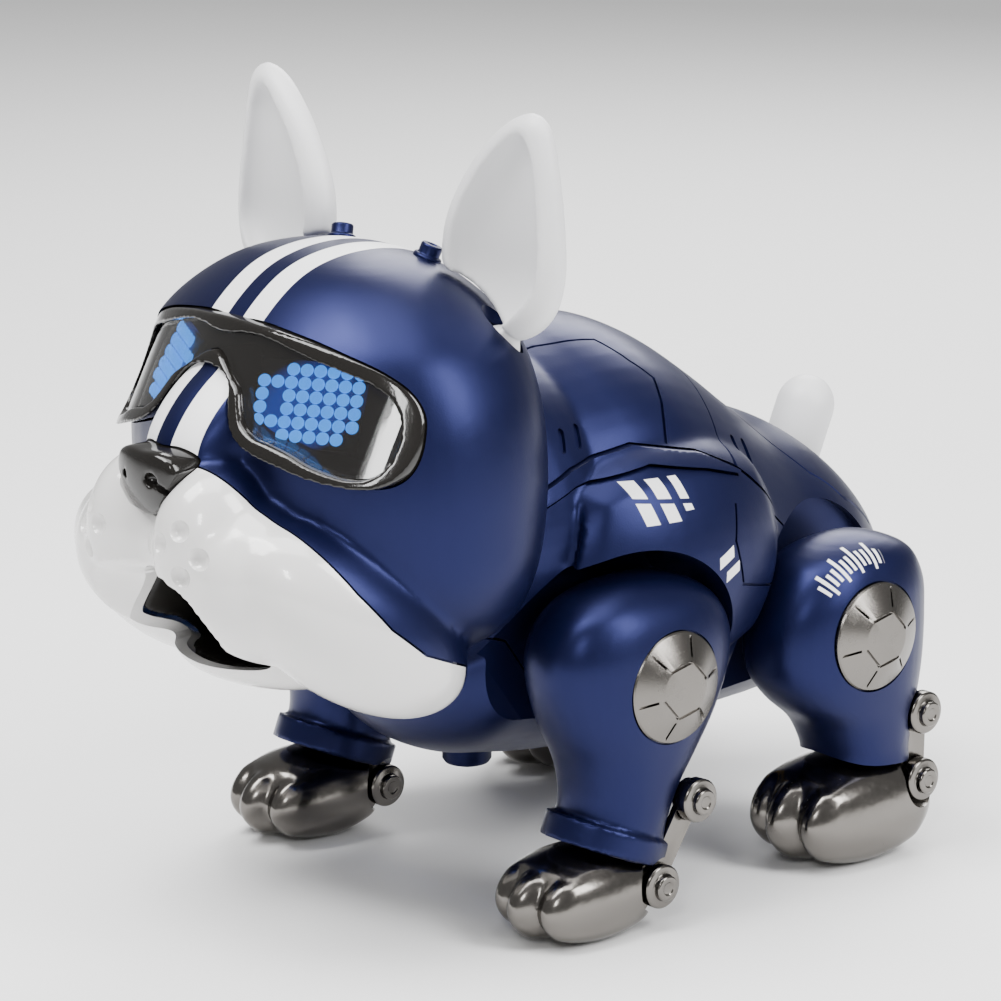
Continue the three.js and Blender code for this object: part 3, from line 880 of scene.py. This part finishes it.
def build_ears():
    def risen(rows):
        return [(z + EAR_AT[2], x + EAR_AT[0], y + EAR_AT[1], a, b) for z, x, y, a, b in rows]

    leaf = skin([loft(risen(EAR_ROWS), squareness=2.3)], 0.8, 2)
    cut(leaf, loft(risen(SCOOP_ROWS), squareness=2.1))
    swung(leaf, EAR_AT, 5)
    for by in (-10, 0, 10):
        cut(leaf, swung(swell(helmet(), 0.9), EAR_AT, by))
    leaf = skin([leaf], 0.65, 5)
    stem = rod(4, 12, "z", (EAR_AT[0], EAR_AT[1], EAR_AT[2] - 3))
    leaf = skin([leaf, stem], 0.65, 2)
    deliver_pair(leaf, "ear_shell_SIDE", "ear_SIDE", "ear_SIDE", "white_soft")
    profile = [
        (0, -4), (1.9, -4), (1.9, -0.4), (3.1, -0.3), (3.4, 0), (3.4, 2.3), (3.1, 2.6), (2.7, 2.7),
        (2.6, 2.9), (2.6, 4.9), (2.3, 5.2), (1.2, 5.3), (1.1, 4.9), (0, 4.9),
    ]
    stud = centred(turned(profile, "z", (0, 0, 0), steps=40))
    turn_to(stud, tilt=-18, roll=14)
    stand(stud, (15, -45.5, 155))
    deliver_pair(stud, "stud_SIDE", "head", "ear_stud_SIDE", "navy", 35, 0.15)


# ---------------------------------------------------------------- body

# Sections of the body from the chest back: y, half width, top and bottom.
BODY = [
    (-50, 0, 59, 59), (-47, 24, 76, 42), (-38, 37, 92, 35), (-24, 45, 128, 31.5),
    (-8, 50.5, 134, 29.5), (8, 52, 134.5, 29), (22, 50, 129.5, 29), (36, 47, 120.5, 29.5),
    (48, 44.5, 111.5, 30), (57, 43, 105.5, 30.5), (70, 41, 100, 32), (82, 36, 92.5, 35),
    (92, 28.5, 83.5, 39.5), (99, 18, 75, 46), (102.5, 0, 60, 60),
]
# Where the covers part, in y and z.
SHOULDER_TOP = [(-70, 95), (-44, 102), (-25, 108.5), (-6, 111.5), (10, 108.3), (20, 103)]
SHOULDER_REST = [
    (29, 95.5), (42, 84), (44, 74), (33, 66), (30, 40), (-13, 36), (-36, 68), (-70, 80),
]
REAR_EDGE = [(23.6, 108), (27, 115), (31, 122), (38, 140), (38, 160)]


def body_form():
    """The body in one skin: trunk, shoulders and the dome that stands inside the head."""
    rows = [(y, 0, (top + bottom) / 2, half, (top - bottom) / 2) for y, half, top, bottom in BODY]
    shoulders = [pebble((22, 38, 30), (x * 37, 3, 82), 0.9) for x in (1, -1)]
    trunk = skin([loft(rows, "y", around=64), *shoulders], 0.9, 8)
    for by in (-11, -5, 0, 5, 11):
        cut(trunk, swung(swell(helmet(), 1.4), (0, NECK_Y, 0), by))
    dome = pebble((46, 46, 42.6), (0, NECK_Y, 92), cuts=15)
    meet(dome, block((200, 200, 200), (0, 46, 100)))
    return skin([trunk, dome], 0.9, 3)


def pockets(grow):
    """The four round rooms that the legs stand in."""
    rooms = []
    for x in (1, -1):
        for y, z, radius in ((-15, 59.5, 30.7), (55.2, 58.2, 28.6)):
            start = 32.5 - grow
            rooms.append(rod(radius + grow, 60, "x", (x * (start + 30), y, z), vertices=120))
    return rooms


def build_body():
    form = body_form()
    inside = cut(core_of(form, WALL), *pockets(WALL))
    shell = cut(copy_of(form), inside, *pockets(0))
    for y, z in (FRONT_HIP, REAR_HIP):
        cut(shell, rod(4.1, 120, "x", (0, y, z)))
    cut(shell, rod(4.9, 60, "z", (0, NECK_Y, 130)))
    core = core_of(form, 0.8)
    build_shoulders(shell, form, core)
    build_front_back(shell, core)
    build_rear_back(shell, core)
    build_belly(shell, form, core)
    for used in (form, shell, core):
        bpy.data.objects.remove(used)


def engrave(obj, core, *tools):
    """Cuts each tool into the outer skin only, down to the core under it."""
    for tool in tools:
        boolean(tool, core, keep=True)
        boolean(obj, tool)
    return obj


def line_in_plan(points, width=0.7):
    """Upright walls over a line of (x, y) points."""
    walls = []
    for (x1, y1), (x2, y2) in zip(points, points[1:]):
        length = math.hypot(x2 - x1, y2 - y1)
        turn = math.degrees(math.atan2(y2 - y1, x2 - x1))
        middle = ((x1 + x2) / 2, (y1 + y2) / 2, 100)
        walls.append(block((length + width, width, 90), middle, turn=turn))
    return walls


def line_in_side(points, side, width=0.7):
    """Walls across one flank over a line of (y, z) points."""
    walls = []
    for (y1, z1), (y2, z2) in zip(points, points[1:]):
        length = math.hypot(y2 - y1, z2 - z1)
        tilt = math.degrees(math.atan2(z2 - z1, y2 - y1))
        middle = (side * 45, (y1 + y2) / 2, (z1 + z2) / 2)
        walls.append(block((50, length + width, width), middle, tilt=tilt))
    return walls


def pill(width, length, at, tilt):
    """A round-ended slot tool that points across the flank."""
    tool = block((30, width, length), (0, 0, 0))
    edit(tool)
    bpy.ops.mesh.select_all(action="DESELECT")
    done()
    for edge in tool.data.edges:
        a, b = (tool.data.vertices[i].co for i in edge.vertices)
        edge.select = abs(a.x - b.x) > 0.02
    bpy.ops.object.mode_set(mode="EDIT")
    bpy.ops.mesh.bevel(offset=width * 0.49 * MM, segments=6, affect="EDGES")
    done()
    turn_to(centred(tool), tilt)
    return stand(tool, at)


def build_shoulders(shell, form, core):
    cover = meet(copy_of(shell), side_slab(SHOULDER_TOP + SHOULDER_REST))
    meet(cover, block((100, 400, 400), (76, 0, 0)))
    low_edge = [(19, 102.6), (9, 105.4), (-6, 108.2), (-25, 105.2), (-44, 98.8), (-70, 91.8)]
    piping = meet(swell(copy_of(form), 1.0), side_slab(SHOULDER_TOP + low_edge, 20, 90))
    cut(piping, core_of(form, 1.5))
    weld(cover, piping)
    under_piping = [(-70, 91.2), (-44, 98.2), (-25, 104.6), (-6, 107.7), (9, 104.9), (19, 102)]
    notch = [(15.2, 96), (13.4, 88), (16.4, 77), (29, 73.6), (38, 73)]
    engrave(cover, core, *line_in_side(under_piping, 1, 0.6), *line_in_side(notch, 1))
    node = "shoulder_cover_SIDE"
    deliver_pair(cover, "shoulder_shell_SIDE", "torso", node, "navy_barred")


def build_front_back(shell, core):
    outline = [(y, z + 0.5) for y, z in SHOULDER_TOP[:-1]] + [(20, 104), *REAR_EDGE, (-70, 160)]
    cover = meet(copy_of(shell), side_slab(outline))
    line = [(14, -40), (15, -12), (19, 3.5), (27, 7.5), (31.6, 11), (37, 8.5), (44, 3.5)]
    for x in (1, -1):
        engrave(cover, core, *line_in_plan([(x * a, b) for a, b in line]))
        for y in (-24.2, -18.5):
            engrave(cover, core, pill(1.7, 5.4, (x * 38, y, 114.6), -24))
    deliver(cover, "front_back_shell", "torso", ["front_back_cover"], "navy")


def build_rear_back(shell, core):
    front = [(y + 0.6, z) for y, z in REAR_EDGE]
    low = [(130, 160), (130, 60), (60, 60), (44.6, 73.6), (42.6, 84.2), (29.4, 96)]
    outline = [(20.8, 103.4), *front, *low]
    cover = meet(copy_of(shell), side_slab(outline))
    cut(cover, rod(10, 60, "z", (0, 87, 84), tilt=-24))
    line = [(13, 36), (19, 48), (25.5, 56), (31, 64), (33, 74), (30, 86)]
    for x in (1, -1):
        engrave(cover, core, *line_in_plan([(x * a, b) for a, b in line]))
        for y, z in ((31, 104), (36, 102)):
            engrave(cover, core, pill(1.7, 5.8, (x * 44, y, z), -12))
    deliver(cover, "rear_back_shell", "torso", ["rear_back_cover"], "navy")


def build_belly(shell, form, core):
    outline = [
        (-70, 79), (-36.3, 67.5), (-13.3, 35.4), (30.6, 39.4), (33.6, 65.5), (44.5, 73),
        (59.6, 59.4), (130, 59.4), (130, 0), (-70, 0),
    ]
    belly = meet(copy_of(shell), side_slab(outline))
    keel = meet(copy_of(shell), side_slab(SHOULDER_TOP + SHOULDER_REST))
    meet(keel, block((51.4, 400, 400), (0, 0, 0)))
    weld(belly, keel)
    cut(belly, block((34, 54, 20), (0, 30, 26)))
    cut(belly, rod(6.6, 20, "z", (0, -20, 28)))
    cut(belly, block((11, 8, 30), (0, 72, 30)))
    for y in (4.5, 55.5):
        engrave(belly, core, rod(3.2, 20, "z", (20.5, y, 30)), rod(3.2, 20, "z", (-20.5, y, 30)))
    deliver(belly, "belly_pan", "torso", ["belly_shell"], "navy")
    door = meet(copy_of(form), block((33, 53, 20), (0, 30, 21.8)))
    for i in range(5):
        engrave(door, core, block((14, 1.1, 10), (0, 10 + i * 2.6, 28), bevel=0.3))
    engrave(door, core, rod(2.6, 12, "z", (0, 50, 28)))
    deliver(door, "battery_lid", "torso", ["battery_door"], "navy")


def build_tail_and_button():
    radius, straight, crown = 7.4, 15, 8
    profile = [(0, -8), (3, -8), (3, -1), (6.9, -1), (radius, -0.4), (radius, straight)]
    for degrees in range(10, 90, 10):
        a = math.radians(degrees)
        profile.append((radius * math.cos(a), straight + crown * math.sin(a)))
    profile.append((0, straight + crown))
    tail = centred(turned(profile, "z", (0, 0, 0), steps=56))
    turn_to(tail, tilt=-24)
    stand(tail, (0, 87, 84))
    deliver(tail, "tail_stub", "tail", ["tail"], "white_soft", 50)
    profile = [
        (0, 0.6), (2.2, 0.5), (2.6, 0), (4, 0), (5.4, 0.5), (6, 1.4), (6, 10.4), (7.6, 10.4),
        (7.6, 12), (0, 12),
    ]
    button = turned(profile, "z", (0, -20, 27), steps=48)
    node = "power_button"
    deliver(button, "power_knob", node, [node], "navy", 35, 0.12)


# ---------------------------------------------------------------- legs

# Sections of each leg from the ankle up: height, middle in y, half width, half length.
FRONT_LEG = [
    (16, -20, 0, 0), (16.5, -20, 11, 11.5), (24, -19, 12, 12.4), (32.5, -16.6, 12.4, 13.8),
    (41, -14.6, 13.5, 17.8), (50, -14, 14.9, 23), (60, -13.6, 15.5, 26.8), (69, -13.6, 15.3, 27),
    (77, -13.6, 12.8, 22), (82, -13.6, 7, 12), (83.5, -13.6, 0, 0),
]
REAR_LEG = [
    (19, 62.5, 0, 0), (19.5, 62.5, 11.5, 11.5), (27, 62, 12.5, 12.5), (35, 60.3, 13.5, 15.4),
    (42, 57, 14.5, 20.6), (50, 54.6, 15.3, 24.2), (61, 54.4, 15.5, 24.6), (70, 55.8, 14.7, 22.2),
    (77.5, 57, 11, 15.5), (81.5, 57, 0, 0),
]
# Bolt heads stand this far out from the middle of the leg.
BOLT_OUT = 10.4
LEGS = {
    "front": {
        "hip": FRONT_HIP, "rows": FRONT_LEG, "paw": (14, 19.5, 11), "paw_at": (-31, 10.3),
        "pin": (-14, 10.5), "knee": (-2.2, 29), "paint": "navy",
    },
    "rear": {
        "hip": REAR_HIP, "rows": REAR_LEG, "paw": (15.5, 23.4, 13.4), "paw_at": (56, 12.6),
        "pin": (73.2, 18), "knee": (73.6, 35), "paint": "navy_ticked",
    },
}


def build_leg(end, spec):
    (hip_y, hip_z), (pin_y, pin_z), (knee_y, knee_z) = spec["hip"], spec["pin"], spec["knee"]
    body = node = f"{end}_leg_SIDE"
    leg = loft([(z, LEG_X, y, a, b) for z, y, a, b in spec["rows"]], squareness=2.5)
    leg = skin([leg], 0.8, 5)
    if end == "front":
        weld(leg, cuff())
        leg = skin([leg], 0.65, 3)
    else:
        leg = skin([leg], 0.7, 1)
    cut(leg, rod(HUB_RADIUS + 0.35, 10, "x", (HUB_FACE + 4.7, hip_y, hip_z), vertices=96))
    cut(leg, rod(17, 12, "x", (34.5, hip_y, hip_z)), rod(3.8, 60, "x", (LEG_X, hip_y, hip_z)))
    cut(leg, rod(6.6, 60, "x", (LEG_X, pin_y, pin_z)))
    room = tuple(size + 1.4 for size in spec["paw"])
    cut(leg, pebble(room, (LEG_X, *spec["paw_at"]), 0.75))
    cut(leg, link_bar(spec, 0.4), rod(6, 4, "x", (62, knee_y, knee_z)))
    cut(leg, rod(2.9, 20, "x", (54, knee_y, knee_z)))
    deliver_pair(leg, f"{end}_leg_shell_SIDE", body, node, spec["paint"], 38)
    build_hub(end, spec, body)
    build_paw(end, spec)
    bar = link_bar(spec, 0)
    cut(bar, rod(2.9, 20, "x", (57, knee_y, knee_z)), rod(3.2, 20, "x", (57, pin_y, pin_z)))
    node = f"{end}_link_bar_SIDE"
    deliver_pair(bar, f"{end}_link_SIDE", body, node, "gunmetal", 35, 0.3)
    knee = bolt((LEG_X + BOLT_OUT, knee_y, knee_z))
    weld(knee, rod(2.6, 9, "x", (56, knee_y, knee_z)))
    node = f"{end}_knee_bolt_SIDE"
    deliver_pair(knee, f"{end}_bolt_SIDE", body, node, "gunmetal", 30, 0.2)
    pin = bolt((LEG_X + BOLT_OUT, pin_y, pin_z))
    inner = bolt((0, pin_y, pin_z))
    flipped = Matrix.Diagonal((-1, 1, 1, 1))
    inner.data.transform(Matrix.Translation(((LEG_X - BOLT_OUT) * MM, 0, 0)) @ flipped)
    inner.data.flip_normals()
    weld(pin, inner, rod(2.9, 21.2, "x", (LEG_X, pin_y, pin_z)))
    node = f"{end}_ankle_pin_SIDE"
    deliver_pair(pin, f"{end}_pin_SIDE", body, node, "gunmetal", 30, 0.2)


def cuff():
    """The raised band over the front paw."""
    ring = centred(rod(1, 6, "z", (0, 0, 0), vertices=96))
    ring.data.transform(Matrix.Diagonal((13.5, 16.4, 1, 1)))
    turn_to(ring, tilt=-22)
    return stand(ring, (LEG_X, -20.5, 20.8))


def link_bar(spec, grow):
    (pin_y, pin_z), (knee_y, knee_z) = spec["pin"], spec["knee"]
    reach = math.hypot(knee_y - pin_y, knee_z - pin_z)
    tilt = math.degrees(math.atan2(knee_z - pin_z, knee_y - pin_y))
    thick, x = 1.8 + grow * 2, 59.1
    middle = (x, (knee_y + pin_y) / 2, (knee_z + pin_z) / 2)
    bar = block((thick, reach, 6 + grow * 2), middle, tilt=tilt)
    for y, z in ((pin_y, pin_z), (knee_y, knee_z)):
        weld(bar, rod(4.6 + grow, thick, "x", (x, y, z), vertices=40))
    return bar


def bolt(at):
    """A flanged bolt head with a round boss and a shallow dish."""
    profile = [
        (0, 0), (5.3, 0), (5.3, 2.5), (4.9, 2.95), (3.4, 3.0), (3.2, 3.1), (3.1, 4.3), (2.8, 4.6),
        (1.6, 4.6), (1.4, 4.3), (0, 4.3),
    ]
    return turned(profile, "x", at, steps=40)


def build_hub(end, spec, body):
    """A coned cap: six radial grooves, and parts of a hexagonal one round its flat middle."""
    hip_y, hip_z = spec["hip"]
    profile = [
        (0, 0), (HUB_RADIUS, 0), (HUB_RADIUS, 0.8), (13.0, 1.2), (12.6, 1.4), (6.7, 4.1),
        (6.3, 4.2), (0, 4.2),
    ]
    cap = turned(profile, "x", (HUB_FACE, hip_y, hip_z), steps=96)

    def groove(size, out, reach, degrees):
        angle = math.radians(degrees)
        at = (HUB_FACE + out, hip_y + reach * math.cos(angle), hip_z + reach * math.sin(angle))
        cut(cap, block(size, at, tilt=degrees))

    for i in range(6):
        groove((2.4, 5.0, 0.62), 2.6, 10.4, 60 * i + 12)
        if i % 3 != 2:
            groove((1.6, 0.7, 6.6), 4.4, 5.9, 60 * i + 42)
    node = f"{end}_hub_cap_SIDE"
    deliver_pair(cap, f"{end}_hub_SIDE", body, node, "hub_metal", 22, 0.12)


def build_paw(end, spec):
    """Three toes that run back into one pad, with a heel that turns on the pin."""
    (wide, long, tall), (y, z), (pin_y, pin_z) = spec["paw"], spec["paw_at"], spec["pin"]
    parts = [pebble((wide - 0.5, long - 2.6, tall - 0.25), (LEG_X, y + 2.4, z - 0.1), 0.82)]
    for toe, back in ((-1, 1.6), (0, 0), (1, 1.6)):
        size = (wide * 0.44, long - 0.2 - back, tall - 1.2 - 0.5 * abs(toe))
        at = (LEG_X + toe * wide * 0.55, y + back, z - 1.0)
        parts.append(pebble(size, at, 0.9))
    paw = skin(parts, 0.6, 10)
    for x in (1, -1):
        cut(paw, rod(6.8, 12, "x", (LEG_X + 13.9 * x, pin_y, pin_z)))
    weld(paw, rod(5.4, 15.6, "x", (LEG_X, pin_y, pin_z)))
    cut(paw, block((80, 80, 40), (LEG_X, y, -20)))
    cut(paw, rod(3.4, 60, "x", (LEG_X, pin_y, pin_z)))
    body = node = f"{end}_paw_SIDE"
    deliver_pair(paw, f"{end}_foot_SIDE", body, node, "gunmetal", 42)


# ---------------------------------------------------------------- inside

AXLES = [f"{end}_hip_axle_{side}" for end in LEGS for side in ("left", "right")]
INSIDE = {
    "grey": ["gearbox_left", "gearbox_right", "head_motor", "speaker"],
    "motor": ["drive_motor_left", "drive_motor_right"],
    "steel": ["neck_pin", "charge_port", *AXLES],
    "board": ["main_board"],
    "cell": ["battery_pack"],
}


def paint_inside():
    for paint, nodes in INSIDE.items():
        for node in nodes:
            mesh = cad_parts[node].data
            mesh.materials.clear()
            mesh.materials.append(PAINTS[paint])


# ---------------------------------------------------------------- studio


def from_angle(azimuth, elevation, distance, middle):
    a, e = math.radians(azimuth), math.radians(elevation)
    away = Vector((math.sin(a) * math.cos(e), -math.cos(a) * math.cos(e), math.sin(e)))
    return middle + away * distance


def softbox(name, azimuth, elevation, distance, size, power):
    middle = Vector((0, 0, 0.09))
    data = bpy.data.lights.new(name, "AREA")
    data.shape = "RECTANGLE"
    data.size, data.size_y = size
    data.energy = power
    lamp = bpy.data.objects.new(name, data)
    lamp.location = from_angle(azimuth, elevation, distance, middle)
    lamp.rotation_euler = (middle - lamp.location).to_track_quat("-Z", "Y").to_euler()
    bpy.context.collection.objects.link(lamp)


def build_studio():
    clear()
    bpy.ops.mesh.primitive_plane_add(size=12, location=(0, 0, -0.0004))
    floor = bpy.context.object
    floor.name = "floor"
    paint = Paint("floor", Specular_IOR_Level=0.1, Roughness=0.9)
    paint.give(Base_Color=paint.shade(rgb(0.92, 0.92, 0.92), 0.97, paint.noise(3, 2)))
    floor.data.materials.append(paint.material)

    world = bpy.data.worlds.new("studio")
    bpy.context.scene.world = world
    world.use_nodes = True
    sky = world.node_tree.nodes["Background"].inputs
    sky["Color"].default_value = rgb(1, 1, 1)
    sky["Strength"].default_value = 0.35
    softbox("key", 345, 62, 1.0, (0.5, 0.5), 15)
    softbox("side", 108, 34, 1.0, (0.3, 0.7), 11)
    softbox("top", 60, 84, 1.1, (0.7, 0.7), 11)
    softbox("back", 215, 35, 1.1, (0.6, 0.6), 10)
    softbox("strip", 42.5, 29, 1.2, (0.11, 0.26), 3)


def place_camera():
    middle = Vector((0.001, -0.0101 + FORE * MM, 0.0907))
    data = bpy.data.cameras.new("camera")
    data.lens = 164
    data.sensor_width = 36
    data.clip_start = 0.01
    camera = bpy.data.objects.new("camera", data)
    camera.location = from_angle(48.87, 14.61, 1.08985, middle)
    camera.rotation_euler = (middle - camera.location).to_track_quat("-Z", "Y").to_euler()
    bpy.context.collection.objects.link(camera)
    bpy.context.scene.camera = camera


place_camera()
build_studio()
build_head()
build_ears()
build_body()
build_tail_and_button()
for leg_end, leg_spec in LEGS.items():
    build_leg(leg_end, leg_spec)
paint_inside()
clear()
